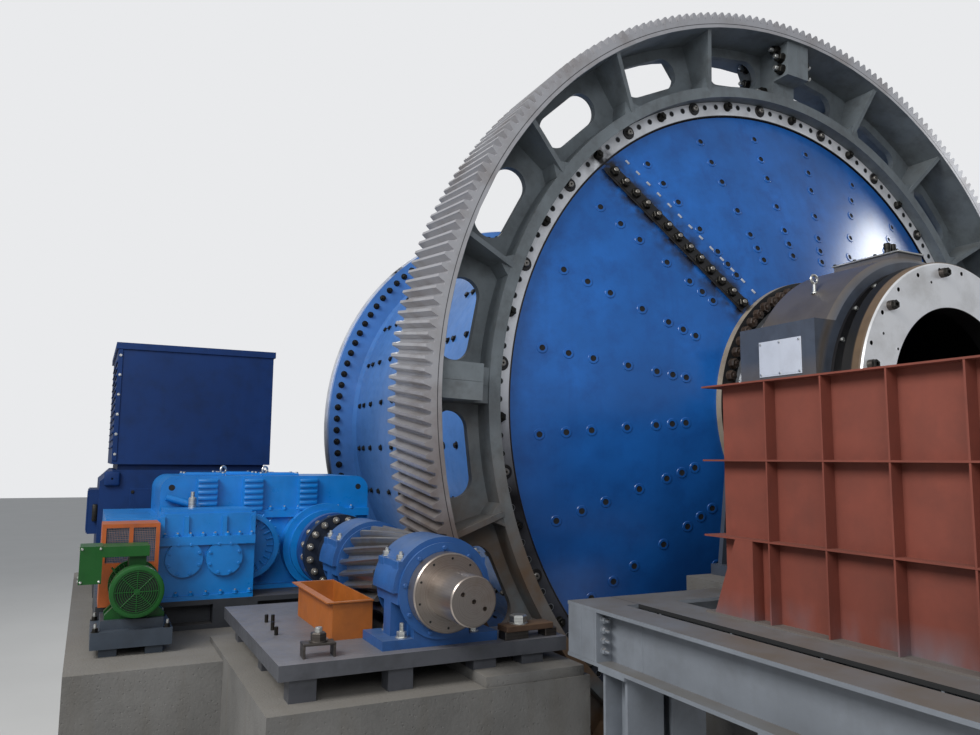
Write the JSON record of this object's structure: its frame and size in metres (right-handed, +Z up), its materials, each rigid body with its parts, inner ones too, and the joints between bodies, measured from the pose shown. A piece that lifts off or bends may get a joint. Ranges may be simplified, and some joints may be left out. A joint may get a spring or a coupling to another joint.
{
  "type": "overflow ball mill with girth gear drive",
  "caption": "Gear-driven grinding mill: flanged drum with conical heads on trunnion bearings and piers, girth gear and pinion, reducer, motor, barring drive and discharge casing.",
  "frame": {"origin": "centre of the underside of the discharge pier, on the ground below the mill axis and the discharge bearing", "axes": "+Y along the mill axis from the discharge end to the feed end, +Z up, the drive lies on the -X side"},
  "size_m": [9.8171, 11.213, 8.1669],
  "materials": {
    "concrete": "rough",
    "bearing_paint": "satin",
    "base_plate_steel": "satin",
    "housing_paint": "satin",
    "orange_paint": "satin",
    "reducer_paint": "gloss",
    "frame_paint": "satin",
    "motor_paint": "satin",
    "green_paint": "gloss",
    "red_primer": "matte",
    "grey_primer": "matte",
    "mill_paint": "gloss",
    "machined_steel": "machined",
    "gear_casting": "cast",
    "coupling_paint": "satin"
  },
  "bodies": {
    "root": {"discharge_pier": "concrete", "feed_pier": "concrete", "pinion_plinth": "concrete", "drive_plinth": "concrete", "discharge_bearing_base": "bearing_paint", "discharge_bearing_cap": "bearing_paint", "feed_bearing_base": "bearing_paint", "feed_bearing_cap": "bearing_paint", "pinion_base_plate": "base_plate_steel", "front_housing_base": "housing_paint", "front_housing_cap": "housing_paint", "rear_housing_base": "housing_paint", "rear_housing_cap": "housing_paint", "pinion_tray": "orange_paint", "reducer_frame": "frame_paint", "reducer_lower_case": "reducer_paint", "reducer_upper_case": "reducer_paint", "motor_frame": "frame_paint", "motor_body": "motor_paint", "motor_cooler": "motor_paint", "barring_motor": "green_paint", "barring_base": "frame_paint", "coupling_guard": "orange_paint", "casing_left": "red_primer", "casing_right": "red_primer", "casing_back": "red_primer", "casing_front": "red_primer", "girder_left": "grey_primer", "girder_right": "grey_primer", "girder_cross": "grey_primer"},
    "mill": {"shell": "mill_paint", "discharge_head": "mill_paint", "feed_head": "mill_paint", "discharge_trunnion": "machined_steel", "feed_trunnion": "machined_steel", "discharge_ring": "machined_steel", "gear_segment_1": "gear_casting", "gear_segment_2": "gear_casting", "gear_segment_3": "gear_casting", "gear_segment_4": "gear_casting"},
    "pinion_shaft": {"pinion": "machined_steel", "pinion_shaft": "machined_steel", "coupling": "coupling_paint"}
  },
  "joints": [
    {"name": "mill_spin", "type": "hinge", "parent": "root", "child": "mill", "pos_m": [0, 0, 4.35], "axis": [0, 1, 0], "continuous": true},
    {"name": "pinion_spin", "type": "hinge", "parent": "root", "child": "pinion_shaft", "pos_m": [-3.8612, 0, 3.0581], "axis": [0, 1, 0], "continuous": true}
  ],
  "couplings": [
    {"joint": "pinion_spin", "follows": "mill_spin", "ratio": -13.4}
  ]
}
